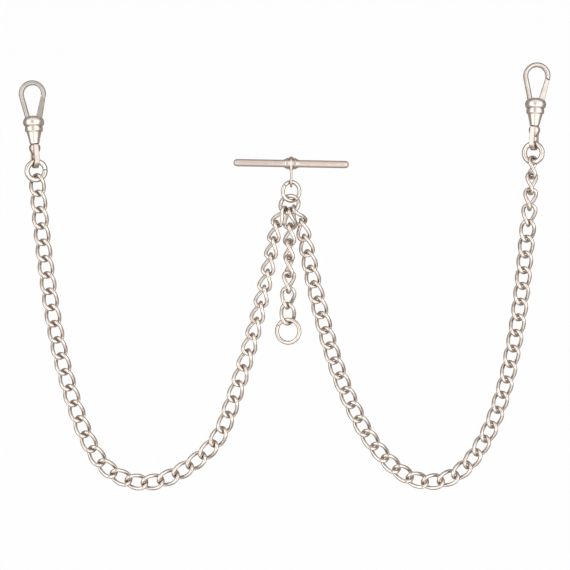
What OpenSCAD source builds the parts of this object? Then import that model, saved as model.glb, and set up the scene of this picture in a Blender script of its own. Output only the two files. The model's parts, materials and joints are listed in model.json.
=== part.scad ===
// Double Albert pocket watch chain, laid out flat as for display.
// A T-bar in the middle carries two strands of curb links and a short drop,
// and each strand ends in a sprung swivel clip. The chain lies in the XY plane
// on Z = 0, +Y runs from the drop to the T-bar. Millimetres.

/* [Curb links] */
// Diameter of the wire that the links are bent from
link_wire = 1.12; // [0.9:0.01:1.15]
// Outer length of one link
link_length = 7.23; // [7.2:0.01:7.4]
// Outer width of one link
link_width = 4.98; // [4.8:0.01:5.2]
// How far each quarter of a link is twisted out of its plane
link_twist = 0.95; // [0.85:0.01:1.05]

/* [Strands] */
// Spacing of the links in the left strand, which is drawn tight
left_pitch = 4.93; // [4.8:0.01:4.95]
// Spacing of the links in the right strand, which lies a little slack
right_pitch = 4.75; // [4.7:0.01:4.85]
// Spacing of the links in the drop
drop_pitch = 4.77; // [4.7:0.01:4.85]

/* [Jump rings] */
// Wire diameter of the two linked jump rings and the drop's end ring
ring_wire = 1.2; // [1.1:0.01:1.25]
// Outer diameter of the two linked jump rings
jump_ring_d = 6.84; // [6.8:0.01:6.9]
// Outer diameter of the ring at the end of the drop
end_ring_d = 8.16; // [7.8:0.01:8.5]
// Wire diameter of the ring at each clip
clip_ring_wire = 1.55; // [1.4:0.01:1.6]
// Outer diameter of the ring at each clip
clip_ring_d = 7.1; // [7:0.01:7.3]
// Angle left open where the ends of a ring's wire meet
ring_split = 3; // [1:0.5:6]

/* [T-bar] */
// Length of the T-bar
bar_length = 34.6; // [30:0.1:40]
// Diameter of the T-bar
bar_d = 2.2; // [2:0.05:2.4]
// Diameter of the shackle's band around the T-bar
band_d = 4.36; // [4.2:0.02:4.4]
// Width of the shackle's band along the T-bar
band_width = 1.9; // [1.7:0.05:2]
// Diameter of the collars on each side of the band
bar_collar_d = 3.45; // [3.2:0.05:3.6]
// Width of one collar
bar_collar_width = 0.9; // [0.8:0.05:1]
// Diameter of the thicker journal that the shackle's band turns on
journal_d = 2.6; // [2.55:0.05:2.7]
// Wire diameter of the shackle's loop
shackle_wire = 0.95; // [0.8:0.05:1]

/* [Swivel clips] */
// Diameter of the clip's collar, its widest turned part
collar_d = 6.24; // [6:0.02:6.4]
// Length of the turned barrel
barrel_length = 8.4; // [8.2:0.1:8.8]
// Outer width of the hook
hook_width = 8.04; // [7.8:0.02:8.4]
// Height of the hook above the barrel
hook_height = 10.65; // [10:0.05:11]
// Width of the hook's section, seen from the front
hook_band = 1.4; // [1.3:0.05:1.5]
// Thickness of the hook's section, front to back
hook_depth = 1.9; // [1.7:0.05:2.2]
// Width of the swivel eye's band
eye_band = 1.55; // [1.4:0.05:1.7]
// Lean of each clip away from the middle
clip_lean = 2.5; // [0:0.5:5]

/* [Hidden] */
$fn = 64;
clearance = 0.05;

// The links: centreline half sizes, and the numbers of wire sections
link_a = (link_length - link_wire) / 2;
link_b = (link_width - link_wire) / 2;
link_sections = 16;
wire_sides = 6;
links_per_node = 3;

// The rings' centreline radii
jump_r = (jump_ring_d - ring_wire) / 2;
end_r = (end_ring_d - ring_wire) / 2;
clip_ring_r = (clip_ring_d - clip_ring_wire) / 2;

// Moves the layout so that the origin is under the middle of the whole chain
layout_shift = [1.48, 21.69, 0];

// The main jump ring: its centre height, and its tilt about X and then Y
main_height = 2.65;
main_tilt = [-23, -16.5];
// The upper jump ring, through the main ring and the shackle
upper_centre = [0.5, 3.9, 2.04];
upper_tilt = [4.5, 28.5];

// A strand is [number of links, pitch, angle of its place on the main ring,
// headings, rolls]. Headings and rolls are [link, degrees], straight in between;
// a heading is the way the strand runs, a roll turns a link about that way.
LEFT = [
    41, left_pitch, -135,
    [
        [1, -120], [2, -99], [4, -101], [9, -105.5], [14, -109.5], [16, -134],
        [19, -156.5], [24, -237.5], [26, -249.5], [33, -261], [41, -265.5]
    ],
    [[1, 68], [7, 44], [12, 16], [16, 0]]
];
RIGHT = [
    43, right_pitch, -52,
    [
        [1, -62], [2, -78], [4, -79], [10, -73], [15, -62], [18, -43.5],
        [19, -34], [23, 40], [24, 53.5], [27, 69.5], [30, 77.5], [36, 84.5], [43, 86.5]
    ],
    [[1, 62], [4, 27], [8, 10], [12, 0], [39, 0], [40, 30], [43, 80]]
];
DROP = [
    7, drop_pitch, -89,
    [[1, -88], [2, -92.5], [4, -90], [6, -94], [7, -87]],
    [[1, 57], [2, 68], [4, 90], [7, 180]]
];

function link_count(strand) = strand[0];
function pitch(strand) = strand[1];
function heading(strand, i) = lookup(i, strand[3]);
function roll(strand, i) = lookup(i, strand[4]);

// Half the height of a link that lies rolled on the table
function half_height(roll) = link_wire / 2 + max([
    for (t = [0 : 5 : 355]) link_b * sin(t) * sin(roll) - link_twist * sin(2 * t) * cos(roll)
]);

// Centre to centre of two wires that hang in each other
slack = 0.1;
function hold(wire_1, wire_2) = (wire_1 + wire_2) / 2 + slack;

// A point on a ring's centreline, for a ring tilted about X and then Y
function tilted(p, tilt) =
    let (q = [p.x * cos(tilt[1]), p.y, -p.x * sin(tilt[1])])
    [q.x, q.y * cos(tilt[0]) - q.z * sin(tilt[0]), q.y * sin(tilt[0]) + q.z * cos(tilt[0])];
function main_point(angle) =
    [0, 0, main_height] + tilted(jump_r * [cos(angle), sin(angle), 0], main_tilt);

// Height of joint i, which joins link i to link i + 1; joint 0 is on the main ring
function joint_height(strand, i) =
    i == 0 ? main_point(strand[2]).z
    : i == link_count(strand) ? half_height(roll(strand, i))
    : max(half_height(roll(strand, i)), half_height(roll(strand, i + 1)));
// Length of link i from joint to joint, and the part of it before its centre
function before_centre(strand, i) =
    i == 1 ? link_a - hold(link_wire, ring_wire) : pitch(strand) / 2;
function link_span(strand, i) = before_centre(strand, i) + pitch(strand) / 2;
function climb(strand, i) =
    asin((joint_height(strand, i) - joint_height(strand, i - 1)) / link_span(strand, i));
function way(strand, i) =
    let (h = heading(strand, i), c = climb(strand, i))
    [cos(h) * cos(c), sin(h) * cos(c), sin(c)];
function joints(strand) = [
    for (i = 0, p = main_point(strand[2]); i <= link_count(strand);
        i = i + 1, p = i <= link_count(strand) ? p + link_span(strand, i) * way(strand, i) : p) p
];

left_joints = joints(LEFT);
right_joints = joints(RIGHT);
drop_joints = joints(DROP);

// Where a ring's wire passes through the last link of a strand
function strand_end(strand, points, wire) =
    let (n = link_count(strand))
    points[n] + (link_a - pitch(strand) / 2 - hold(link_wire, wire)) * way(strand, n);

left_end = strand_end(LEFT, left_joints, clip_ring_wire);
right_end = strand_end(RIGHT, right_joints, clip_ring_wire);
drop_end = strand_end(DROP, drop_joints, ring_wire);

// The clip rings rise from the last link to the swivel eye, each tilted about
// the line between them; the end ring tilts about the drop's line
left_ring_tilt = 24;
right_ring_tilt = -28;
end_ring_tilt = -15;
axis_height = collar_d / 2 + 0.02;
function clip_way(side) = [side * sin(clip_lean), cos(clip_lean), 0];
function ring_rise(end) = asin((axis_height - 0.1 - end.z) / (2 * clip_ring_r));
function ring_centre(end, side) =
    end + clip_ring_r * (cos(ring_rise(end)) * clip_way(side) + [0, 0, sin(ring_rise(end))]);
function ring_top(end, side) = 2 * ring_centre(end, side) - end;

// The swivel eye: a band bent into a loop, on a shank in the barrel
eye_thickness = 0.75;
eye_r = 2.45;
eye_reach = 7.25;
eye_play = 0.4;
function clip_base(end, side) =
    let (
        top = ring_top(end, side),
        eye_inside = eye_reach - eye_thickness / 2 - hold(eye_thickness, clip_ring_wire)
    )
    [top.x, top.y, axis_height] + (eye_inside - eye_play) * clip_way(side);

left_base = clip_base(left_end, -1);
right_base = clip_base(right_end, 1);

// The hook's bow: its centreline radius, centre and where its straight leg starts
bow_r = (hook_width - hook_band) / 2;
bow_y = barrel_length + hook_height - hook_width / 2;
foot_x = 1.55;
foot_y = 7.2;
leg_angle = asin(bow_r / norm([foot_x, bow_y - foot_y])) - atan(foot_x / (bow_y - foot_y));
gate_pin = [foot_x, foot_y];
gate_length = norm([foot_x, bow_y - foot_y]) * cos(asin(bow_r / norm([foot_x, bow_y - foot_y])));
pin_d = 0.8;
gate_depth = 1.5;
// The hook and the gate meet in a slanted lap, which stops the gate from opening outwards
lap_angle = 30;
lap_gap = 0.18;

// The shackle's loop hangs around the upper ring's wire
bar_height = band_d / 2 + 0.02;
shackle_bend = 1.65;
shackle_end = upper_centre.y + jump_r * cos(upper_tilt[0]) - hold(shackle_wire, ring_wire);
shackle_reach = 6.7;
bar_y = shackle_end + shackle_reach;
bar_tilt = -1;

LEFT_NODES = ceil(link_count(LEFT) / links_per_node);
RIGHT_NODES = ceil(link_count(RIGHT) / links_per_node);
DROP_NODES = link_count(DROP);
function two_digits(i) = i < 10 ? str("0", i) : str(i);
function left_name(i) = str("left_links_", two_digits(i));
function right_name(i) = str("right_links_", two_digits(i));
function drop_name(i) = str("drop_link_", i);

module in_place() {
    translate(layout_shift) children();
}

// One twisted link about its centre, its length along X
module curb_link() {
    wire_r = link_wire / 2;
    step = 360 / link_sections;
    side = 360 / wire_sides;
    points = [
        for (i = [0 : link_sections - 1])
            let (
                t = i * step,
                centre = [link_a * cos(t), link_b * sin(t), -link_twist * sin(2 * t)],
                along = [-link_a * sin(t), link_b * cos(t), -2 * link_twist * cos(2 * t)],
                out = cross(along, [0, 0, 1]) / norm(cross(along, [0, 0, 1])),
                up = cross(out, along) / norm(along)
            )
            for (j = [0 : wire_sides - 1])
                centre + wire_r * (cos(j * side) * out + sin(j * side) * up)
    ];
    function corner(i, j) = (i % link_sections) * wire_sides + j % wire_sides;
    faces = [
        for (i = [0 : link_sections - 1])
            for (j = [0 : wire_sides - 1])
                each [
                    [corner(i, j), corner(i, j + 1), corner(i + 1, j + 1)],
                    [corner(i, j), corner(i + 1, j + 1), corner(i + 1, j)]
                ]
    ];
    polyhedron(points, faces);
}

// Links first to last of a strand, each between its own two joints
module links(strand, points, first, last) {
    color("silver")
    in_place()
    for (i = [first : min(last, link_count(strand))])
        translate(points[i - 1] + before_centre(strand, i) * way(strand, i))
        rotate([roll(strand, i), -climb(strand, i), heading(strand, i)])
        curb_link();
}

module group_of_links(strand, points, group) {
    first = (group - 1) * links_per_node + 1;
    links(strand, points, first, first + links_per_node - 1);
}

// A ring of round wire in the XY plane, its ends meeting at an angle
module split_ring(centre_r, wire, split_at) {
    rotate([0, 0, split_at + ring_split / 2])
    rotate_extrude(angle = 360 - ring_split)
    translate([centre_r, 0])
    circle(d = wire);
}

module main_jump_ring() {
    color("gainsboro")
    in_place()
    translate([0, 0, main_height])
    rotate([main_tilt[0], 0, 0])
    rotate([0, main_tilt[1], 0])
    split_ring(jump_r, ring_wire, 20);
}

module upper_jump_ring() {
    color("gainsboro")
    in_place()
    translate(upper_centre)
    rotate([upper_tilt[0], 0, 0])
    rotate([0, upper_tilt[1], 0])
    split_ring(jump_r, ring_wire, 140);
}

module drop_end_ring() {
    color("gainsboro")
    in_place()
    translate(drop_end - [0, end_r, 0])
    rotate([0, end_ring_tilt, 0])
    split_ring(end_r, ring_wire, 148);
}

module clip_ring(end, side, tilt) {
    color("gainsboro")
    in_place()
    translate(ring_centre(end, side))
    rotate([0, 0, -side * clip_lean])
    rotate([ring_rise(end), 0, 0])
    rotate([0, tilt, 0])
    split_ring(clip_ring_r, clip_ring_wire, 0);
}

// Places the T-bar's pieces: X along the bar, origin at its middle
module at_bar() {
    in_place()
    translate([upper_centre.x, bar_y, bar_height])
    rotate([0, 0, bar_tilt])
    children();
}

// A solid turned about the T-bar's axis from an outline of [radius, along]
module turned_on_bar(outline) {
    rotate([0, 90, 0])
    rotate_extrude()
    polygon(outline);
}

module t_bar() {
    dome = bar_d / 2;
    half = bar_length / 2;
    journal = band_width / 2 + clearance + bar_collar_width;
    color("silver")
    at_bar()
    turned_on_bar(concat(
        [[0, -half]],
        [for (a = [15 : 15 : 90]) [dome * sin(a), -half + dome * (1 - cos(a))]],
        [[dome, -journal], [journal_d / 2, -journal], [journal_d / 2, journal], [dome, journal]],
        [for (a = [90 : -15 : 15]) [dome * sin(a), half - dome * (1 - cos(a))]],
        [[0, half]]
    ));
}

module bar_collar(side) {
    bore = journal_d / 2 + 0.02;
    outer = bar_collar_d / 2;
    inner_end = band_width / 2 + clearance;
    color("silver")
    at_bar()
    rotate([0, 0, side > 0 ? 0 : 180])
    turned_on_bar([
        [bore, inner_end], [outer - 0.1, inner_end], [outer, inner_end + 0.12],
        [outer, inner_end + 0.32], [outer - 0.2, inner_end + 0.46],
        [bore + 0.1, inner_end + bar_collar_width - 0.2],
        [bore + 0.04, inner_end + bar_collar_width], [bore, inner_end + bar_collar_width]
    ]);
}

module t_bar_left_collar() bar_collar(-1);
module t_bar_right_collar() bar_collar(1);

// The band turns freely on the bar, and its wire loop holds the upper ring
module t_bar_shackle() {
    half = band_width / 2;
    bore = journal_d / 2 + clearance;
    loop_y = shackle_reach - shackle_bend;
    leg_start = 0.4;
    color("gainsboro")
    at_bar()
    rotate([0, 0, -bar_tilt])
    difference() {
        union() {
            rotate([0, 0, bar_tilt])
            turned_on_bar([
                [0, -half], [band_d / 2 - 0.56, -half], [band_d / 2 - 0.5, 0.12 - half],
                [band_d / 2 - 0.1, -0.26], [band_d / 2, -0.06], [band_d / 2, 0.06],
                [band_d / 2 - 0.1, 0.26], [band_d / 2 - 0.5, half - 0.12],
                [band_d / 2 - 0.56, half], [0, half]
            ]);
            for (side = [-1, 1])
                translate([0, -leg_start, side * shackle_bend])
                rotate([90, 0, 0])
                cylinder(d = shackle_wire, h = loop_y - leg_start);
            translate([0, -loop_y, 0])
            rotate([0, 90, 0])
            rotate([0, 0, 180])
            rotate_extrude(angle = 180)
            translate([shackle_bend, 0])
            circle(d = shackle_wire);
        }
        rotate([0, 0, bar_tilt])
        rotate([0, 90, 0])
        cylinder(r = bore, h = 3 * band_width, center = true);
    }
}

// Places a clip's pieces: +Y along the clip from the barrel's base to the hook
module at_clip(base, side) {
    in_place()
    translate(base)
    rotate([0, 0, -side * clip_lean])
    children();
}

// A solid turned about the clip's axis from an outline of [radius, along]
module turned_on_clip(outline) {
    rotate([-90, 0, 0])
    rotate_extrude()
    polygon(outline);
}

shank_r = 0.65;
rivet_r = 1.2;
rivet_at = 1.5;
rivet_length = 0.9;

module clip_barrel(base, side) {
    collar = collar_d / 2;
    color("silver")
    at_clip(base, side)
    difference() {
        turned_on_clip([
            [0, 0], [1.28, 0], [1.42, 0.2], [1.74, 1.7], [2.14, 3.35], [2.26, 3.62],
            [2.5, 3.7], [2.64, 3.95], [2.67, 4.5], [2.64, 5.05], [2.46, 5.3], [2.62, 5.36],
            [2.92, 5.6], [collar - 0.04, 6], [collar, 6.45], [collar - 0.03, 6.95],
            [collar - 0.26, 7.5], [2.42, barrel_length - 0.42], [1.75, barrel_length - 0.1],
            [0.9, barrel_length], [0, barrel_length]
        ]);
        rotate([-90, 0, 0])
        translate([0, 0, -1])
        cylinder(r = shank_r + clearance, h = rivet_at + 1.5);
        rotate([-90, 0, 0])
        translate([0, 0, rivet_at - clearance])
        cylinder(r = rivet_r + clearance, h = rivet_length + 2 * clearance);
        translate([0.1, 5.9, -gate_depth / 2 - clearance])
        cube([2.52, barrel_length, gate_depth + 2 * clearance]);
        translate(gate_pin)
        cylinder(d = pin_d + 0.02, h = 2 * collar_d, center = true);
    }
}

// The eye's outline from its side: a drop whose straight sides end on the bulb
module eye_outline(r, top_y, top_half) {
    hull() {
        translate([0, eye_r - eye_reach])
        circle(r = r);
        translate([-top_half, top_y])
        square([2 * top_half, 0.1]);
    }
}

// The eye turns in the barrel on its riveted shank. It faces along the ring's wire.
module clip_swivel_eye(base, side, facing) {
    color("silver")
    at_clip(base, side)
    rotate([0, facing, 0])
    difference() {
        union() {
            turned_on_clip([
                [0, rivet_at + rivet_length], [rivet_r, rivet_at + rivet_length],
                [rivet_r, rivet_at], [shank_r, rivet_at], [shank_r, -clearance],
                [1.15, -clearance], [1.58, -0.45], [1.7, -1.1], [1.6, -1.8],
                [1.2, -2.6], [0.7, -3.2], [0, -3.3]
            ]);
            rotate([0, 90, 0])
            linear_extrude(height = eye_band, center = true)
            eye_outline(eye_r, -0.45, 1.78);
        }
        rotate([0, 90, 0])
        linear_extrude(height = 3 * eye_band, center = true)
        eye_outline(eye_r - eye_thickness, -3.3, 1.1);
    }
}

// Eight-sided section of the hook, across and front to back
module hook_section() {
    w = hook_band / 2;
    d = hook_depth / 2;
    edge = 0.35;
    polygon([
        [w, d - edge], [w - edge, d], [edge - w, d], [-w, d - edge],
        [-w, edge - d], [edge - w, -d], [w - edge, -d], [w, edge - d]
    ]);
}

// The half of space above (1) or below (-1) the lap, near the end of the hook
module beyond_lap(way) {
    reach = 1.6;
    translate([bow_r * cos(leg_angle), bow_y - bow_r * sin(leg_angle), 0])
    rotate([0, 0, -lap_angle])
    translate([-reach, way > 0 ? -lap_gap : -2 * reach, -reach])
    cube([2 * reach, 2 * reach + (way > 0 ? lap_gap : 0), 2 * reach]);
}

module clip_hook(base, side) {
    past_lap = 12;
    color("silver")
    at_clip(base, side)
    difference() {
        union() {
            translate([0, bow_y, 0])
            rotate([0, 0, -leg_angle - past_lap])
            rotate_extrude(angle = 180 + 2 * leg_angle + past_lap)
            translate([bow_r, 0])
            hook_section();
            translate([-foot_x, foot_y, 0])
            rotate([0, 0, leg_angle])
            rotate([-90, 0, 0])
            linear_extrude(height = gate_length + 0.01)
            hook_section();
        }
        beyond_lap(-1);
        translate([-10, barrel_length - 20, -10])
        cube(20);
    }
}

// The gate closes the hook on the right and swings inwards on its pin. It is wider
// at its foot than at its tip.
module clip_gate(base, side) {
    hub_r = 0.72;
    pocket_z = 0.1;
    foot = 1.6;
    tip = 1.2;
    color("silver")
    at_clip(base, side)
    difference() {
        translate(gate_pin)
        rotate([0, 0, -leg_angle])
        linear_extrude(height = gate_depth, center = true)
        union() {
            circle(r = hub_r);
            polygon([
                [-hub_r, 0], [hub_r, 0], [foot / 2, 0.9], [foot / 2, 1.5],
                [tip / 2, gate_length + tip], [-tip / 2, gate_length + tip],
                [-foot / 2, 1.5], [-foot / 2, 0.9]
            ]);
        }
        beyond_lap(1);
        translate(gate_pin)
        cylinder(d = pin_d + 0.06, h = 4, center = true);
        translate([gate_pin.x, gate_pin.y, pocket_z])
        cylinder(r = hub_r + 0.1, h = 2);
    }
}

module clip_gate_pin(base, side) {
    color("gray")
    at_clip(base, side)
    translate(gate_pin)
    cylinder(d = pin_d, h = 5.2, center = true);
}

module clip_gate_spring(base, side) {
    color("dimgray")
    at_clip(base, side)
    translate([gate_pin.x, gate_pin.y, 0.16])
    difference() {
        cylinder(r = 0.68, h = 0.56);
        translate([0, 0, -1])
        cylinder(r = pin_d / 2 + 0.03, h = 3);
    }
}

main_jump_ring();
upper_jump_ring();
t_bar_shackle();
t_bar();
t_bar_left_collar();
t_bar_right_collar();
drop_end_ring();
for (i = [1 : DROP_NODES])
    links(DROP, drop_joints, i, i);
for (i = [1 : LEFT_NODES])
    group_of_links(LEFT, left_joints, i);
for (i = [1 : RIGHT_NODES])
    group_of_links(RIGHT, right_joints, i);
clip_ring(left_end, -1, left_ring_tilt);  // left_clip_ring
clip_swivel_eye(left_base, -1, left_ring_tilt);  // left_clip_swivel_eye
clip_barrel(left_base, -1);  // left_clip_barrel
clip_hook(left_base, -1);  // left_clip_hook
clip_gate(left_base, -1);  // left_clip_gate
clip_gate_pin(left_base, -1);  // left_clip_gate_pin
clip_gate_spring(left_base, -1);  // left_clip_gate_spring
clip_ring(right_end, 1, right_ring_tilt);  // right_clip_ring
clip_swivel_eye(right_base, 1, right_ring_tilt);  // right_clip_swivel_eye
clip_barrel(right_base, 1);  // right_clip_barrel
clip_hook(right_base, 1);  // right_clip_hook
clip_gate(right_base, 1);  // right_clip_gate
clip_gate_pin(right_base, 1);  // right_clip_gate_pin
clip_gate_spring(right_base, 1);  // right_clip_gate_spring
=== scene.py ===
import json
import math
from collections import namedtuple

import bmesh
import bpy
import numpy as np
from mathutils import Matrix, Vector


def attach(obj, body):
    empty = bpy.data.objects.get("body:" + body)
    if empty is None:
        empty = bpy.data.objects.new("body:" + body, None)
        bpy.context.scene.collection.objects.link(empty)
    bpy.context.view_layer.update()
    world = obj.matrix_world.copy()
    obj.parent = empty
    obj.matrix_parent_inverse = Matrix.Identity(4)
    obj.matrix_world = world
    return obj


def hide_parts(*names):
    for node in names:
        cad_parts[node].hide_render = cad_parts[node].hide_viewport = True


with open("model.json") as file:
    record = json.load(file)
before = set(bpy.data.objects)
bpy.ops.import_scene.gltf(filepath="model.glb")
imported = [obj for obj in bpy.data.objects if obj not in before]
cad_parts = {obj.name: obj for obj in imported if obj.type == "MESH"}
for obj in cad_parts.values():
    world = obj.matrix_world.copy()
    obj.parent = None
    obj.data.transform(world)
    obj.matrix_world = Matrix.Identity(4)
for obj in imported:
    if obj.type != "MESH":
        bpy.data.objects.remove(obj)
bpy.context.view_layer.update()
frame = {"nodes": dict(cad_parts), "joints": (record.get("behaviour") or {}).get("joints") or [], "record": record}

MM = 0.001
X, Y, Z = np.eye(3)
# Clearance between parts that turn on each other, in millimetres
GAP = 0.05


# ---------------------------------------------------------------- materials

# Noise scales, in features per metre: cloudy tint, smears and fine marks
CLOUD_SCALE = 450
SMEAR_SCALE = 1900
MARK_SCALE = 9000
# Scale of the fine marks along their length, where they have a direction
MARK_STRETCH = 0.05
DENT_DEPTH = 0.05 * MM
DENT_STRENGTH = 0.12
MARK_DEPTH = 0.006 * MM
CREVICE_REACH = 0.9 * MM
CREVICE_SAMPLES = 8
# Tint of the metal's reflection at a grazing angle
EDGE_TINT = (0.7, 0.64, 0.6, 1)

NICKEL = (0.82, 0.778, 0.745)
NICKEL_SHADE = (0.69, 0.638, 0.597)
# Painted shade: the brown that the metal is darkened towards in crevices and between parts, where ambient
# occlusion finds nearby surfaces
CREVICE_SHADE_COLOUR = (0.46, 0.35, 0.26)


def noise(nodes, links, coords, scale, detail, roughness=0.5):
    """Noise between 0 and 1 at the given coordinates."""
    node = nodes.new("ShaderNodeTexNoise")
    node.inputs["Scale"].default_value = scale
    node.inputs["Detail"].default_value = detail
    node.inputs["Roughness"].default_value = roughness
    links.new(coords, node.inputs["Vector"])
    return node.outputs["Fac"]


def remap(nodes, links, value, low, high, to_low, to_high):
    """A value's range from low to high, stretched to another range and held in it."""
    node = nodes.new("ShaderNodeMapRange")
    node.inputs["From Min"].default_value = low
    node.inputs["From Max"].default_value = high
    node.inputs["To Min"].default_value = to_low
    node.inputs["To Max"].default_value = to_high
    links.new(value, node.inputs["Value"])
    return node.outputs["Result"]


def blend_colours(nodes, links, factor, first, second):
    """Mixes two colours, each a socket or an RGB tuple."""
    node = nodes.new("ShaderNodeMix")
    node.data_type = "RGBA"
    links.new(factor, node.inputs["Factor"])
    for socket, colour in ((node.inputs["A"], first), (node.inputs["B"], second)):
        if isinstance(colour, tuple):
            socket.default_value = (*colour, 1)
        else:
            links.new(colour, socket)
    return node.outputs["Result"]


def bump(nodes, links, height, strength, distance):
    """A bump node on a height, with its incoming normal still free."""
    node = nodes.new("ShaderNodeBump")
    node.inputs["Strength"].default_value = strength
    node.inputs["Distance"].default_value = distance
    links.new(height, node.inputs["Height"])
    return node


def polished_metal(name, bright, shade, gloss, turned_about=None, marking=0.25):
    """Worn polished metal: a cloudy tint between two colours, dents, fine marks, and painted
    shade in the crevices, a brown darkening where ambient occlusion finds nearby surfaces.
    gloss is the lowest and highest roughness, and marking the marks' strength. The marks run
    every way, or round an axis, 0 for X and 1 for Y, as on a lathe."""
    material = bpy.data.materials.new(name)
    material.use_nodes = True
    nodes, links = material.node_tree.nodes, material.node_tree.links
    shader = nodes["Principled BSDF"]
    coords = nodes.new("ShaderNodeTexCoord").outputs["Object"]
    stretched = nodes.new("ShaderNodeMapping")
    links.new(coords, stretched.inputs["Vector"])
    if turned_about is not None:
        scale = [MARK_STRETCH] * 3
        scale[turned_about] = 1
        stretched.inputs["Scale"].default_value = scale
    clouds = noise(nodes, links, coords, CLOUD_SCALE, 3)
    smears = noise(nodes, links, coords, SMEAR_SCALE, 4, 0.6)
    marks = noise(nodes, links, stretched.outputs["Vector"], MARK_SCALE, 3, 0.7)
    cloudiness = remap(nodes, links, clouds, 0.35, 0.65, 0, 1)
    tint = blend_colours(nodes, links, cloudiness, bright, shade)
    # Painted shade: ambient occlusion darkens the colour towards a brown in crevices and between parts
    crevices = nodes.new("ShaderNodeAmbientOcclusion")
    crevices.inputs["Distance"].default_value = CREVICE_REACH
    crevices.samples = CREVICE_SAMPLES
    painted_shade = remap(nodes, links, crevices.outputs["AO"], 0.15, 0.75, 1, 0)
    colour = blend_colours(nodes, links, painted_shade, tint, CREVICE_SHADE_COLOUR)
    roughness = remap(nodes, links, smears, 0.3, 0.7, *gloss)
    links.new(colour, shader.inputs["Base Color"])
    links.new(roughness, shader.inputs["Roughness"])
    shader.inputs["Metallic"].default_value = 1
    shader.inputs["Specular Tint"].default_value = EDGE_TINT
    dents = bump(nodes, links, smears, DENT_STRENGTH, DENT_DEPTH)
    scratches = bump(nodes, links, marks, marking, MARK_DEPTH)
    links.new(dents.outputs["Normal"], scratches.inputs["Normal"])
    links.new(scratches.outputs["Normal"], shader.inputs["Normal"])
    return material


link_metal = polished_metal("link_metal", NICKEL, NICKEL_SHADE, (0.12, 0.22))
ring_metal = polished_metal(
    "ring_metal", (0.77, 0.725, 0.69), (0.69, 0.64, 0.60), (0.14, 0.24)
)
bar_metal = polished_metal(
    "bar_metal", (0.70, 0.635, 0.59), (0.655, 0.59, 0.545), (0.40, 0.47), turned_about=0, marking=0.05
)
shackle_metal = polished_metal(
    "shackle_metal", (0.75, 0.69, 0.65), (0.69, 0.63, 0.59), (0.2, 0.28)
)
# One swivel eye on each clip in two colours: the left is painted darker and the right lighter, as painted shade
# and painted light for how the light falls on each clip
eye_metals_painted_light = {
    "left": polished_metal(
        "left_eye_painted_shade_metal", (0.60, 0.55, 0.515), (0.55, 0.50, 0.465), (0.2, 0.3)
    ),
    "right": polished_metal(
        "right_eye_painted_light_metal", (0.69, 0.645, 0.61), (0.64, 0.59, 0.55), (0.2, 0.3)
    ),
}
barrel_metal = polished_metal(
    "barrel_metal", NICKEL, (0.74, 0.69, 0.64), (0.25, 0.35), turned_about=1, marking=0.15
)
hook_metal = polished_metal(
    "hook_metal", (0.713, 0.675, 0.645), (0.644, 0.60, 0.557), (0.25, 0.35)
)
spring_steel = polished_metal(
    "spring_steel", (0.55, 0.54, 0.53), (0.42, 0.41, 0.40), (0.3, 0.45)
)


# ---------------------------------------------------------------- mesh tools

WIRE_SIDES = 24
LATHE_STEPS = 96
# Points closer than this are joined: in a piece's mesh, and in a CAD mesh
WELD = 0.0005 * MM
CAD_WELD = 0.0001 * MM

# Points in millimetres, about a local origin, and faces as lists of their numbers
Shape = namedtuple("Shape", "points faces")


def grid_faces(rows, columns, closed):
    """Quads between neighbouring rows of points, each row a closed loop."""
    last = rows if closed else rows - 1
    return [
        [
            i * columns + j,
            i * columns + (j + 1) % columns,
            (i + 1) % rows * columns + (j + 1) % columns,
            (i + 1) % rows * columns + j,
        ]
        for i in range(last)
        for j in range(columns)
    ]


def sweep(stations, closed):
    """A skin over stations, each a list of the same number of points."""
    columns = len(stations[0])
    faces = grid_faces(len(stations), columns, closed)
    if not closed:
        faces.append(list(range(columns))[::-1])
        faces.append([(len(stations) - 1) * columns + j for j in range(columns)])
    return Shape([tuple(point) for station in stations for point in station], faces)


def circle(radius, sides):
    """The points of a circle, as an outline."""
    return [
        (radius * math.cos(2 * math.pi * j / sides), radius * math.sin(2 * math.pi * j / sides))
        for j in range(sides)
    ]


def across(centre, out, up, section, scale=1.0):
    """A section's points at a place on a path."""
    return [np.asarray(centre) + scale * (u * out + v * up) for u, v in section]


def rounded(outline, radius, steps=5):
    """A closed outline of 2-D points with each corner cut to a curve of about that radius.
    A point may be (x, y, r) to give its own radius."""
    longest_cut = 0.49  # of a side
    straight = math.radians(88)  # half the angle of a corner that is left as it is
    result = []
    count = len(outline)
    for i, point in enumerate(outline):
        here = np.array(point[:2], float)
        before = np.array(outline[i - 1][:2], float) - here
        after = np.array(outline[(i + 1) % count][:2], float) - here
        r = point[2] if len(point) > 2 else radius
        reach = min(np.linalg.norm(before), np.linalg.norm(after)) * longest_cut
        before /= np.linalg.norm(before)
        after /= np.linalg.norm(after)
        half = math.acos(max(-1, min(1, before @ after))) / 2
        cut = min(r / math.tan(half), reach) if r > 0 and half < straight else 0
        if cut <= 0:
            result.append(tuple(here))
            continue
        start, end = here + cut * before, here + cut * after
        for k in range(steps + 1):
            t = k / steps
            curve = (1 - t) ** 2 * start + 2 * t * (1 - t) * here + t**2 * end
            result.append(tuple(curve))
    return result


def lathe(outline, axis):
    """A closed outline of (radius, along) turned about local X (0) or Y (1)."""
    stations = []
    for i in range(LATHE_STEPS):
        a = 2 * math.pi * i / LATHE_STEPS
        side, front = math.sin(a), math.cos(a)
        if axis == 0:
            stations.append([(y, r * side, r * front) for r, y in outline])
        else:
            stations.append([(r * side, y, r * front) for r, y in outline])
    return sweep(stations, True)


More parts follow.
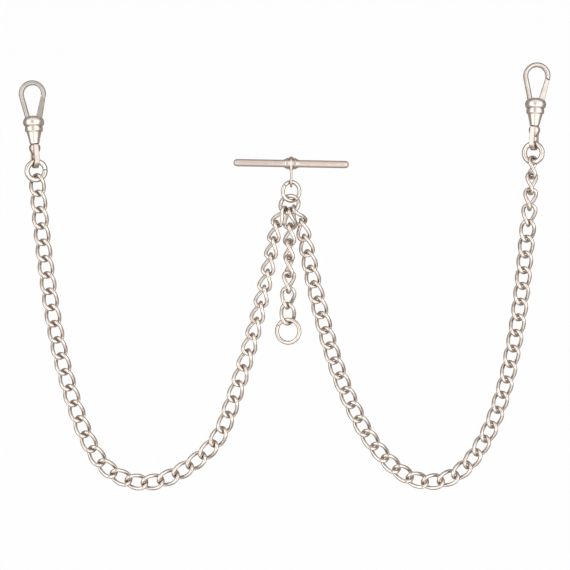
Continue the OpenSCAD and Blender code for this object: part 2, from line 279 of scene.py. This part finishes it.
def prism(outline, thickness, edge):
    """An outline in the XY plane made thick along Z, its edges chamfered."""
    half = thickness / 2
    flat = np.array(outline, float)
    inner = []
    for i in range(len(flat)):
        before = flat[i] - flat[i - 1]
        after = flat[(i + 1) % len(flat)] - flat[i]
        normal = np.array([-(before + after)[1], (before + after)[0]])
        inner.append(flat[i] + edge * normal / np.linalg.norm(normal))
    levels = [(inner, -half), (flat, -half + edge), (flat, half - edge), (inner, half)]
    return sweep([[(p[0], p[1], z) for p in points] for points, z in levels], False)


def to_mesh(name, shape, place=None):
    """A mesh of a shape, in metres, put in its place by a 4 x 4 matrix."""
    mesh = bpy.data.meshes.new(name)
    mesh.from_pydata(shape.points, [], shape.faces)
    mesh.transform(Matrix.Diagonal((MM, MM, MM, 1)))
    if place is not None:
        mesh.transform(place)
    fixed = bmesh.new()
    fixed.from_mesh(mesh)
    bmesh.ops.remove_doubles(fixed, verts=fixed.verts, dist=WELD)
    bmesh.ops.recalc_face_normals(fixed, faces=fixed.faces)
    fixed.to_mesh(mesh)
    fixed.free()
    return mesh


def combined(name, first, second, operation):
    """The union or difference of two shapes, as a shape in millimetres."""
    objects = []
    for shape in (first, second):
        obj = bpy.data.objects.new(name, to_mesh(name, shape))
        bpy.context.scene.collection.objects.link(obj)
        objects.append(obj)
    modifier = objects[0].modifiers.new("cut", "BOOLEAN")
    modifier.operation = operation
    modifier.object = objects[1]
    modifier.solver = "MANIFOLD"
    graph = bpy.context.evaluated_depsgraph_get()
    mesh = bpy.data.meshes.new_from_object(objects[0].evaluated_get(graph))
    result = Shape(
        [tuple(v.co / MM) for v in mesh.vertices], [list(p.vertices) for p in mesh.polygons]
    )
    for obj in objects:
        bpy.data.objects.remove(obj)
    return result


def piece(name, mesh, material, body, nodes, crease=35):
    """A piece of the object that rides on a body and stands for CAD nodes. It is shaded
    smooth but for edges sharper than crease, in degrees."""
    mesh.materials.clear()
    mesh.materials.append(material)
    mesh.polygons.foreach_set("use_smooth", [True] * len(mesh.polygons))
    mesh.set_sharp_from_angle(angle=math.radians(crease))
    obj = bpy.data.objects.new(name, mesh)
    bpy.context.scene.collection.objects.link(obj)
    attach(obj, body)
    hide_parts(*nodes)


# ------------------------------------------------------ places, from the frame

body_of_node = {
    node: body
    for body, nodes in frame["record"]["behaviour"]["bodies"].items()
    for node in nodes
}
joints = {joint["name"]: joint for joint in frame["joints"]}


def solids_of(node):
    """The points, in metres, of each separate solid in a CAD node."""
    found = bmesh.new()
    found.from_mesh(frame["nodes"][node].data)
    bmesh.ops.remove_doubles(found, verts=found.verts, dist=CAD_WELD)
    left = set(found.verts)
    solids = []
    while left:
        start = min(left, key=lambda v: v.index)
        island, edge_of_island = {start}, [start]
        while edge_of_island:
            vertex = edge_of_island.pop()
            for edge in vertex.link_edges:
                other = edge.other_vert(vertex)
                if other not in island:
                    island.add(other)
                    edge_of_island.append(other)
        left -= island
        solids.append(np.array([v.co for v in sorted(island, key=lambda v: v.index)]))
    found.free()
    return solids


def placed(origin, x, y, z):
    """A matrix that puts local X, Y and Z along three directions at a point."""
    matrix = Matrix.Identity(4)
    for i in range(3):
        matrix[i][0], matrix[i][1], matrix[i][2], matrix[i][3] = x[i], y[i], z[i], origin[i]
    return matrix


def main_axes(points):
    """Place of a solid: its centre, X along its longest way and Z along its thinnest."""
    centre = points.mean(0)
    vectors = np.linalg.eigh(np.cov((points - centre).T))[1]
    x, y = vectors[:, 2], vectors[:, 1]
    return placed(centre, x, y, np.cross(x, y))


# ---------------------------------------------------------------- the links

# Sizes in millimetres; the twist is how far the wire bends out of the link's plane
LINK_WIRE = 1.12
LINK_LENGTH = 7.23
LINK_WIDTH = 4.98
LINK_TWIST = 0.95
LINK_SECTIONS = 96
# The seam's place round the link and half its width, in degrees, and how far it is drawn in
SEAM_AT = 62.0
SEAM_HALF = 0.7
SEAM_SCALE = 0.955


def link_shape():
    """One twisted curb link about its centre: round wire, with the hairline of its seam."""
    a = (LINK_LENGTH - LINK_WIRE) / 2
    b = (LINK_WIDTH - LINK_WIRE) / 2
    section = circle(LINK_WIRE / 2, WIRE_SIDES)
    angles = [360 * i / LINK_SECTIONS for i in range(LINK_SECTIONS)]
    angles = [t for t in angles if abs(t - SEAM_AT) > 2.5 * SEAM_HALF]
    angles += [SEAM_AT + k * SEAM_HALF for k in (-2, -1, 0, 1, 2)]
    stations = []
    for degrees in sorted(angles):
        t = math.radians(degrees)
        centre = np.array([a * math.cos(t), b * math.sin(t), -LINK_TWIST * math.sin(2 * t)])
        along = np.array(
            [-a * math.sin(t), b * math.cos(t), -2 * LINK_TWIST * math.cos(2 * t)]
        )
        out = np.cross(along, Z)
        out /= np.linalg.norm(out)
        up = np.cross(out, along)
        up /= np.linalg.norm(up)
        scale = SEAM_SCALE if degrees == SEAM_AT else 1
        stations.append(across(centre, out, up, section, scale))
    return sweep(stations, True)


def make_links():
    """A fine link in the place of every solid in the CAD nodes of links."""
    shape = link_shape()
    for node in sorted(frame["nodes"]):
        if "_links_" not in node and "_link_" not in node:
            continue
        solids = solids_of(node)
        for i, points in enumerate(solids):
            name = node if len(solids) == 1 else f"{node}_{'abc'[i]}"
            mesh = to_mesh(name, shape, main_axes(points))
            piece(name + "_fine", mesh, link_metal, body_of_node[node], [node])


# ---------------------------------------------------------------- the rings

RINGS = (
    "main_jump_ring", "upper_jump_ring", "drop_end_ring", "left_clip_ring", "right_clip_ring",
)
RING_SECTIONS = 160
# Distance from a ring's sawn end, in millimetres, and the wire's scale there
SOFT_END = ((0, 0.86), (0.024, 0.92), (0.08, 0.975), (0.16, 1.0))
# How squarely a facet of the CAD ring faces along the wire if it is an end
FACES_ALONG = 0.9


def ring_place(node):
    """A split ring's place with X towards its split, its centreline radius and its wire's
    radius, both in millimetres, and half the angle that the split leaves open."""
    mesh = frame["nodes"][node].data
    points = solids_of(node)[0]
    normal = np.linalg.eigh(np.cov((points - points.mean(0)).T))[1][:, 0]
    u = np.cross(normal, X)
    u /= np.linalg.norm(u)
    v = np.cross(normal, u)
    flat = np.c_[points @ u, points @ v]
    fit = np.linalg.lstsq(np.c_[2 * flat, np.ones(len(flat))], (flat**2).sum(1), rcond=None)[0]
    centre = fit[0] * u + fit[1] * v + normal * (points @ normal).mean()
    wire_r = np.ptp(points @ normal) / 2
    outer_r = np.linalg.norm(flat - fit[:2], axis=1).max()
    ends = []
    for face in mesh.polygons:
        arm = np.array(face.center) - centre
        arm -= (arm @ normal) * normal
        tangent = np.cross(normal, arm)
        tangent /= np.linalg.norm(tangent)
        if abs(tangent @ np.array(face.normal)) > FACES_ALONG:
            ends.append(arm / np.linalg.norm(arm))
    split = np.mean(ends, axis=0)
    split /= np.linalg.norm(split)
    half_gap = max(math.acos(min(1, float(end @ split))) for end in ends)
    place = placed(centre, split, np.cross(normal, split), normal)
    return place, (outer_r - wire_r) / MM, wire_r / MM, half_gap


def make_ring(node):
    """A ring bent from round wire, its sawn ends meeting with softened edges."""
    place, centre_r, wire_r, half_gap = ring_place(node)
    section = circle(wire_r, WIRE_SIDES)
    arc = 2 * math.pi - 2 * half_gap
    steps = [(d / centre_r, scale) for d, scale in SOFT_END]
    spread = np.linspace(steps[-1][0], arc - steps[-1][0], RING_SECTIONS)
    steps += [(t, 1.0) for t in spread[1:-1]]
    steps += [(arc - d / centre_r, scale) for d, scale in reversed(SOFT_END)]
    stations = []
    for turned, scale in steps:
        t = half_gap + turned
        out = np.array([math.cos(t), math.sin(t), 0])
        stations.append(across(centre_r * out, out, Z, section, scale))
    mesh = to_mesh(node, sweep(stations, False), place)
    piece(node + "_fine", mesh, ring_metal, body_of_node[node], [node], 50)


# ---------------------------------------------------------------- the T-bar

# Sizes in millimetres
BAR_LENGTH = 34.6
BAR_R = 1.1
JOURNAL_R = 1.3
BAND_R = 2.18
BAND_WIDTH = 1.9
COLLAR_R = 1.72
COLLAR_WIDTH = 0.9
# The loop's wire: its half depth, its width for its depth, and how it flares at the band
SHACKLE_WIRE_R = 0.475
SHACKLE_WIRE_OVAL = 0.76
SHACKLE_FLARE = 0.34
SHACKLE_FLARE_LENGTH = 0.75
# The loop's legs start this far out, and its bend reaches this far
SHACKLE_START = 0.9
SHACKLE_REACH = 6.7
SHACKLE_BEND = 1.65
SHACKLE_LEG_STEPS = 24
SHACKLE_BEND_STEPS = 48


def bar_place():
    """The T-bar's place: X along it, Z up, and its origin in the shackle's band."""
    turn = joints["t_bar_turn"]
    x = np.array(turn["axis"])
    return placed(turn["pos_m"], x, np.cross(Z, x), Z)


def bar_shape():
    """The bar: softly domed ends behind a shallow turned line, and the thicker journal."""
    half = BAR_LENGTH / 2
    journal = BAND_WIDTH / 2 + GAP + COLLAR_WIDTH
    cove = journal + 0.6
    lip_r = BAR_R + 0.16
    end = [
        (0, half), (0.36, half - 0.05), (0.68, half - 0.21), (0.92, half - 0.46),
        (1.06, half - 0.78), (BAR_R, half - 1.12), (BAR_R - 0.05, half - 1.2),
        (BAR_R, half - 1.28),
    ]
    middle = [
        (BAR_R, cove), (lip_r, journal, 0.03), (JOURNAL_R, journal, 0),
        (JOURNAL_R, -journal, 0), (lip_r, -journal, 0.03), (BAR_R, -cove),
    ]
    outline = end + middle + [(r, -y) for r, y in reversed(end)]
    return lathe(rounded(outline, 0.12, 4), 0)


def bar_collar_shape(side):
    """A turned collar, a bead beside the band that falls in a cove to the bar."""
    inner = BAND_WIDTH / 2 + GAP
    outer = inner + COLLAR_WIDTH
    bore = JOURNAL_R + 0.02
    outline = [
        (bore, inner, 0), (COLLAR_R - 0.1, inner, 0.05),
        (COLLAR_R, inner + 0.12, 0.1), (COLLAR_R, inner + 0.32, 0.1),
        (COLLAR_R - 0.2, inner + 0.46, 0.15), (bore + 0.1, outer - 0.2, 0.2),
        (bore + 0.04, outer, 0.03), (bore, outer, 0),
    ]
    if side < 0:
        outline = [(r, -y, soft) for r, y, soft in outline]
    return lathe(rounded(outline, 0.1), 0)


def shackle_band():
    """The ridged band that turns on the journal."""
    half = BAND_WIDTH / 2
    bore = JOURNAL_R + GAP
    right = [
        (BAND_R, 0.06, 0.08), (BAND_R - 0.1, 0.26, 0.25), (BAND_R - 0.5, half - 0.12, 0.1),
        (BAND_R - 0.56, half, 0.06), (bore, half, 0.05),
    ]
    left = [(r, -y, soft) for r, y, soft in reversed(right)]
    return lathe(rounded(left + right, 0.1), 0)


def shackle_loop():
    """The wire loop, out above the bar's axis and back below it."""
    section = circle(SHACKLE_WIRE_R, WIRE_SIDES)
    loop_y = SHACKLE_REACH - SHACKLE_BEND
    leg = []
    for k in range(SHACKLE_LEG_STEPS + 1):
        along = (loop_y - SHACKLE_START) * k / SHACKLE_LEG_STEPS
        flare = SHACKLE_FLARE * math.exp(-((along / SHACKLE_FLARE_LENGTH) ** 2))
        leg.append((SHACKLE_START + along, (SHACKLE_WIRE_OVAL + flare) * X))
    stations = [across((0, -y, SHACKLE_BEND), wide, Z, section) for y, wide in leg]
    for k in range(1, SHACKLE_BEND_STEPS):
        a = math.pi * k / SHACKLE_BEND_STEPS
        out = np.array([0, -math.sin(a), math.cos(a)])
        centre = np.array([0, -loop_y, 0]) + SHACKLE_BEND * out
        stations.append(across(centre, SHACKLE_WIRE_OVAL * X, out, section))
    stations += [across((0, -y, -SHACKLE_BEND), wide, -Z, section) for y, wide in reversed(leg)]
    return sweep(stations, False)


def shackle_shape():
    """The band and the loop in one, bored through for the journal."""
    bore = JOURNAL_R + GAP
    past_band = 2
    body = combined("shackle", shackle_band(), shackle_loop(), "UNION")
    opening = lathe([(0, -past_band), (bore, -past_band), (bore, past_band), (0, past_band)], 0)
    return combined("shackle", body, opening, "DIFFERENCE")


def make_t_bar():
    along_bar = bar_place()
    straight = placed(joints["t_bar_turn"]["pos_m"], X, Y, Z)
    for name, shape, place, metal, slot, body in (
        ("t_bar", bar_shape(), along_bar, bar_metal, "t_bar", "t_bar"),
        ("t_bar_left_collar", bar_collar_shape(-1), along_bar, shackle_metal, "t_bar", "t_bar"),
        ("t_bar_right_collar", bar_collar_shape(1), along_bar, shackle_metal, "t_bar", "t_bar"),
        ("t_bar_shackle", shackle_shape(), straight, shackle_metal, "jump_rings", "t_bar_shackle"),
    ):
        piece(name + "_fine", to_mesh(name, shape, place), metal, body, [name], 50)


# ---------------------------------------------------------------- the clips

# Sizes in millimetres. A clip's Y runs along it from the barrel's foot, and Z is up.
BARREL_LENGTH = 8.4
CLIP_COLLAR_R = 3.12
# The gate's slot in the barrel: its two sides, from the barrel's axis, and its floor
SLOT_INNER = 0.1
SLOT_OUTER = 2.62
SLOT_FLOOR = 5.9
HOOK_WIDTH = 8.04
HOOK_HEIGHT = 10.65
HOOK_BAND = 1.4
HOOK_DEPTH = 1.9
HOOK_BEVEL = 0.44
HOOK_LEG_STEPS = 8
HOOK_BOW_STEPS = 80
# Where the hook's leg and the gate's pin stand, across and along the clip
FOOT = np.array([1.55, 7.2])
EYE_R = 2.45
EYE_REACH = 7.25
EYE_THICKNESS = 0.75
EYE_BAND = 1.55
EYE_BEND_STEPS = 97
EYE_SIDE_STEPS = 12
# Where the strap's two ends leave the bulb: along the clip and out from its axis
EYE_START = (-0.35, 1.42)
# Degrees that the eye is turned in the barrel
EYE_TURN = {"left": 24, "right": -28}
SHANK_R = 0.65
RIVET_R = 1.2
RIVET_AT = 1.5
RIVET_LENGTH = 0.9
PIN_R = 0.4
PIN_HALF = 2.34
GATE_DEPTH = 1.5
GATE_HALF = 0.6
GATE_FOOT_HALF = 0.8
GATE_HUB_R = 0.72
# The slanted lap between hook and gate: its slope in degrees, and the gap
LAP_ANGLE = 30
LAP_GAP = 0.18
SPRING_WIRE_R = 0.085
SPRING_COIL_R = 0.55
SPRING_START = 0.27
SPRING_PITCH = 0.17
SPRING_TURNS = 3
SPRING_STEPS = 32

# The hook's bow, and the straight lines that run into it from the two feet
BOW_R = (HOOK_WIDTH - HOOK_BAND) / 2
BOW_Y = BARREL_LENGTH + HOOK_HEIGHT - HOOK_WIDTH / 2
FOOT_TO_BOW = math.hypot(FOOT[0], BOW_Y - FOOT[1])
LEG_ANGLE = math.asin(BOW_R / FOOT_TO_BOW) - math.atan(FOOT[0] / (BOW_Y - FOOT[1]))
LEG_LENGTH = FOOT_TO_BOW * math.cos(math.asin(BOW_R / FOOT_TO_BOW))


def clip_place(side):
    """A clip's place: Y along it from the barrel's foot to the hook, and Z up."""
    swivel = joints[side + "_clip_swivel"]
    y = np.array(swivel["axis"])
    return placed(swivel["pos_m"], np.cross(y, Z), y, Z)


def barrel_shape():
    """The turned barrel: a cone, a bead and a wide collar, hollow for the eye's shank."""
    r = CLIP_COLLAR_R
    bore = SHANK_R + GAP
    head = RIVET_R + GAP
    outline = [
        (bore, 0, 0.04), (1.28, 0, 0.1), (1.42, 0.2, 0.3), (1.74, 1.7, 0), (2.14, 3.35, 0.4),
        (2.26, 3.62, 0.08), (2.5, 3.7, 0.12), (2.64, 3.95, 0.3), (2.67, 4.5, 0.8),
        (2.64, 5.05, 0.3), (2.46, 5.3, 0.06), (2.62, 5.36, 0.05), (2.92, 5.6, 0.3),
        (r - 0.04, 6.0, 0.6), (r + 0.03, 6.45, 0.8), (r - 0.03, 6.95, 0.9), (r - 0.26, 7.5, 0.9),
        (2.42, 7.98, 0.8), (1.75, BARREL_LENGTH - 0.1, 0.8), (0.9, BARREL_LENGTH, 0.3),
        (0, BARREL_LENGTH, 0), (0, RIVET_AT + RIVET_LENGTH + GAP, 0),
        (head, RIVET_AT + RIVET_LENGTH + GAP, 0), (head, RIVET_AT - GAP, 0),
        (bore, RIVET_AT - GAP, 0),
    ]
    barrel = lathe(rounded(outline, 0.1, 6), 1)
    top = BARREL_LENGTH + 1.6
    slot = [(SLOT_INNER, SLOT_FLOOR), (SLOT_OUTER, SLOT_FLOOR), (SLOT_OUTER, top), (SLOT_INNER, top)]
    opening = prism(slot, GATE_DEPTH + 2 * GAP, 0.01)
    return combined("barrel", barrel, opening, "DIFFERENCE")


def eye_shank():
    """The riveted shank in the barrel and the bulb below it."""
    head = RIVET_AT + RIVET_LENGTH
    outline = [
        (0, head, 0), (RIVET_R, head, 0.1), (RIVET_R, RIVET_AT, 0), (SHANK_R, RIVET_AT, 0),
        (SHANK_R, -GAP, 0.1), (1.15, -GAP, 0.2), (1.58, -0.45, 0.5), (1.7, -1.1, 0.5),
        (1.6, -1.8, 0.5), (1.2, -2.6, 0.5), (0.7, -3.2, 0.3), (0, -3.3, 0),
    ]
    return lathe(rounded(outline, 0.1), 1)


def eye_strap():
    """The strap: straight from the bulb, round the ring, and straight back."""
    w, t = EYE_BAND / 2, EYE_THICKNESS / 2
    section = rounded([(-w, -t), (w, -t), (w, t), (-w, t)], 0.22, 4)
    centre_r = EYE_R - EYE_THICKNESS / 2
    loop = np.array([EYE_R - EYE_REACH, 0])
    front = np.array(EYE_START)
    back = front * (1, -1)
    reach = math.hypot(*(front - loop))
    meets = math.atan2(*(front - loop)[::-1]) + math.acos(centre_r / reach)
    path = []
    for a in np.linspace(meets, 2 * math.pi - meets, EYE_BEND_STEPS):
        out = np.array([math.cos(a), math.sin(a)])
        path.append((loop + centre_r * out, out))
    (first, first_out), (last, last_out) = path[0], path[-1]
    shares = [k / EYE_SIDE_STEPS for k in range(EYE_SIDE_STEPS)]
    down = [(front + (first - front) * share, first_out) for share in shares]
    up = [(back + (last - back) * share, last_out) for share in reversed(shares)]
    stations = [
        across((0, *centre), X, np.array([0, *out]), section) for centre, out in down + path + up
    ]
    return sweep(stations, False)


def eye_shape():
    """The swivel eye: a riveted shank, a bulb, and a strap bent round into a loop."""
    return combined("eye", eye_shank(), eye_strap(), "UNION")


def hook_section():
    """The hook's section: flat sides, and a front and back with broad bevels."""
    w, d = HOOK_BAND / 2, HOOK_DEPTH / 2
    flat_w, flat_d = w - HOOK_BEVEL, d - HOOK_BEVEL
    outline = [
        (w, flat_d), (flat_w, d), (-flat_w, d), (-w, flat_d),
        (-w, -flat_d), (-flat_w, -d), (flat_w, -d), (w, -flat_d),
    ]
    return rounded(outline, 0.3, 4)


def leg_point(side, distance):
    """A point on the line from a foot to the bow, on the hook's side, -1, or the gate's, 1."""
    lean = side * LEG_ANGLE
    return np.array(
        [side * FOOT[0] + distance * math.sin(lean), FOOT[1] + distance * math.cos(lean), 0]
    )


def below_lap():
    """A block below the slanted lap, where the hook ends and the gate begins."""
    slant = math.radians(LAP_ANGLE)
    end = leg_point(1, LEG_LENGTH)[:2]
    half_along = 1.6 * np.array([math.cos(slant), -math.sin(slant)])
    down = 3 * np.array([-math.sin(slant), -math.cos(slant)])
    left, right = end - half_along, end + half_along
    return prism([left, left + down, right + down, right], 2 * HOOK_DEPTH, 0.01)


def hook_shape():
    """The hook: its straight leg and its bow, cut on a slant above the gate."""
    section = hook_section()
    out = np.array([-math.cos(LEG_ANGLE), -math.sin(LEG_ANGLE), 0])
    start = (BARREL_LENGTH - 0.4 - FOOT[1]) / math.cos(LEG_ANGLE)
    stations = [
        across(leg_point(-1, distance), out, Z, section)
        for distance in np.linspace(start, LEG_LENGTH, HOOK_LEG_STEPS, endpoint=False)
    ]
    past_lap = math.radians(12)
    for a in np.linspace(math.pi + LEG_ANGLE, -LEG_ANGLE - past_lap, HOOK_BOW_STEPS):
        out = np.array([math.cos(a), math.sin(a), 0])
        stations.append(across(np.array([0, BOW_Y, 0]) + BOW_R * out, out, Z, section))
    return combined("hook", sweep(stations, False), below_lap(), "DIFFERENCE")


def gate_shape():
    """The gate: a flat bar on a hub, wider at its foot, its end cut on the same slant as
    the hook's. Its pin is at the origin and it runs along Y."""
    slant = math.radians(LAP_ANGLE) - LEG_ANGLE
    tip = LEG_LENGTH - LAP_GAP / math.cos(slant)
    rise = GATE_HALF * math.tan(slant)
    foot = GATE_FOOT_HALF
    outline = [
        (GATE_HUB_R * math.cos(math.radians(a)), GATE_HUB_R * math.sin(math.radians(a)), 0)
        for a in range(190, 351, 10)
    ]
    outline += [
        (foot, 0.9, 0.4), (foot, 1.5, 0.6), (GATE_HALF, tip - rise),
        (-GATE_HALF, tip + rise), (-foot, 1.5, 0.6), (-foot, 0.9, 0.4),
    ]
    bar = prism(rounded(outline, 0.16, 3), GATE_DEPTH, 0.12)
    bore = prism(circle(PIN_R + 0.03, 32), 2 * GATE_DEPTH, 0.01)
    return combined("gate", bar, bore, "DIFFERENCE")


def pin_shape():
    """The gate's hinge pin, with low riveted heads."""
    shoulder = PIN_HALF - 0.08
    outline = [
        (0, -PIN_HALF, 0), (0.3, -PIN_HALF, 0.08), (PIN_R, -shoulder, 0), (PIN_R, shoulder, 0),
        (0.3, PIN_HALF, 0.08), (0, PIN_HALF, 0),
    ]
    return lathe(rounded(outline, 0.05, 3), 1)


def spring_shape():
    """A small coil spring of three turns round the pin."""
    section = circle(SPRING_WIRE_R, 10)
    stations = []
    for k in range(SPRING_TURNS * SPRING_STEPS + 1):
        turned = k / SPRING_STEPS
        a = 2 * math.pi * turned
        out = np.array([math.cos(a), math.sin(a), 0])
        centre = SPRING_COIL_R * out + (SPRING_START + SPRING_PITCH * turned) * Z
        stations.append(across(centre, out, Z, section))
    return sweep(stations, False)


def make_clip(side):
    place = clip_place(side)
    foot_place = place @ placed(np.array([*FOOT, 0]) * MM, X, Y, Z)
    gate_place = foot_place @ Matrix.Rotation(-LEG_ANGLE, 4, "Z")
    pin_place = foot_place @ placed((0, 0, 0), X, Z, -Y)
    eye_place = place @ Matrix.Rotation(math.radians(EYE_TURN[side]), 4, "Y")
    # The eye's metal carries painted shade on the left clip and painted light on the right
    eye_painted_light_metal = eye_metals_painted_light[side]
    for part, shape, where, metal, slot, body in (
        ("barrel", barrel_shape(), place, barrel_metal, "clip_metal", "clip_body"),
        ("swivel_eye", eye_shape(), eye_place, eye_painted_light_metal, "clip_metal", "swivel_eye"),
        ("hook", hook_shape(), place, hook_metal, "clip_metal", "clip_body"),
        ("gate", gate_shape(), gate_place, hook_metal, "clip_metal", "clip_gate"),
        ("gate_pin", pin_shape(), pin_place, spring_steel, "clip_steel", "clip_body"),
        ("gate_spring", spring_shape(), foot_place, spring_steel, "clip_steel", "clip_body"),
    ):
        node = f"{side}_clip_{part}"
        mesh = to_mesh(node, shape, where)
        piece(node + "_fine", mesh, metal, f"{side}_{body}", [node], 40)


# ------------------------------------------------------- floor, light, camera

# Metres: the view's width, the place that it is centred on, and the height it is set for
VIEW_WIDTH = 0.171
VIEW_CENTRE = (0.00013, -0.00246)
VIEW_HEIGHT = 0.0018
LENS = 100
SENSOR = 36
# The floor lies low enough to leave a swung-down strand in sight
FLOOR_DROP = 0.3
FLOOR_REACH = 6
# The floor as the camera sees it, lit paper and an even glow, and as the metal reflects it
PAPER_COLOUR = (0.2, 0.2, 0.2, 1)
GLOW_COLOUR = (0.767, 0.777, 0.785, 1)
REFLECTED_COLOUR = (0.40, 0.36, 0.33, 1)
ROOM_COLOUR = (1.0, 0.95, 0.905, 1)
ROOM_STRENGTH = 0.53
WHITE = (1.0, 0.98, 0.96)
WARM = (1.0, 0.91, 0.84)
# Name, azimuth and angle from overhead in degrees, distance and size in metres, radiance
# and colour. The first length of a size is level, and the second climbs.
LIGHTS = (
    ("left_box", 180, 50, 0.8, (1.3, 0.68), 1.16, WHITE),
    ("right_box", 0, 39.5, 0.8, (1.3, 0.95), 1.12, WHITE),
    ("front_panel", -90, 44, 0.9, (1.0, 0.95), 0.66, WARM),
    ("back_panel", 90, 50, 0.9, (1.0, 0.8), 0.5, WARM),
)


def floor_paper():
    """Plain white to the camera, and dimmer in the metal's reflections of it."""
    material = bpy.data.materials.new("floor_paper")
    material.use_nodes = True
    nodes, links = material.node_tree.nodes, material.node_tree.links
    nodes.remove(nodes["Principled BSDF"])
    paper = nodes.new("ShaderNodeBsdfDiffuse")
    paper.inputs["Color"].default_value = PAPER_COLOUR
    glow = nodes.new("ShaderNodeEmission")
    glow.inputs["Color"].default_value = GLOW_COLOUR
    seen = nodes.new("ShaderNodeAddShader")
    links.new(paper.outputs["BSDF"], seen.inputs[0])
    links.new(glow.outputs["Emission"], seen.inputs[1])
    reflected = nodes.new("ShaderNodeBsdfDiffuse")
    reflected.inputs["Color"].default_value = REFLECTED_COLOUR
    ray = nodes.new("ShaderNodeLightPath")
    choice = nodes.new("ShaderNodeMixShader")
    links.new(ray.outputs["Is Camera Ray"], choice.inputs["Fac"])
    links.new(reflected.outputs["BSDF"], choice.inputs[1])
    links.new(seen.outputs["Shader"], choice.inputs[2])
    links.new(choice.outputs["Shader"], nodes["Material Output"].inputs["Surface"])
    return material


def make_floor():
    mesh = bpy.data.meshes.new("floor")
    corners = [(-1, -1), (1, -1), (1, 1), (-1, 1)]
    mesh.from_pydata(
        [(x * FLOOR_REACH, y * FLOOR_REACH, -FLOOR_DROP) for x, y in corners], [], [(0, 1, 2, 3)]
    )
    mesh.materials.append(floor_paper())
    floor = bpy.data.objects.new("floor", mesh)
    bpy.context.scene.collection.objects.link(floor)


def make_light(name, azimuth, from_top, distance, size, radiance, colour):
    """A rectangular soft light that faces the origin."""
    light = bpy.data.lights.new(name, "AREA")
    light.shape = "RECTANGLE"
    light.size, light.size_y = size
    light.energy = radiance * math.pi * size[0] * size[1]
    light.color = colour
    turn, drop = math.radians(azimuth), math.radians(from_top)
    place = distance * Vector(
        (math.cos(turn) * math.sin(drop), math.sin(turn) * math.sin(drop), math.cos(drop))
    )
    obj = bpy.data.objects.new(name, light)
    obj.location = place
    obj.rotation_euler = (-place).to_track_quat("-Z", "Y").to_euler()
    bpy.context.scene.collection.objects.link(obj)


def make_room():
    """An even warm surround."""
    world = bpy.data.worlds.new("studio")
    world.use_nodes = True
    background = world.node_tree.nodes["Background"]
    background.inputs["Color"].default_value = ROOM_COLOUR
    background.inputs["Strength"].default_value = ROOM_STRENGTH
    bpy.context.scene.world = world


def make_camera():
    """A camera that looks straight down."""
    camera = bpy.data.cameras.new("camera")
    camera.lens = LENS
    camera.sensor_width = SENSOR
    obj = bpy.data.objects.new("camera", camera)
    obj.location = (*VIEW_CENTRE, VIEW_HEIGHT + VIEW_WIDTH * LENS / SENSOR)
    bpy.context.scene.collection.objects.link(obj)
    bpy.context.scene.camera = obj


make_camera()
make_links()
for ring in RINGS:
    make_ring(ring)
make_t_bar()
for clip_side in ("left", "right"):
    make_clip(clip_side)
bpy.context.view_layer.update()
make_floor()
make_room()
for soft_light in LIGHTS:
    make_light(*soft_light)
bpy.context.scene.view_settings.view_transform = "Standard"
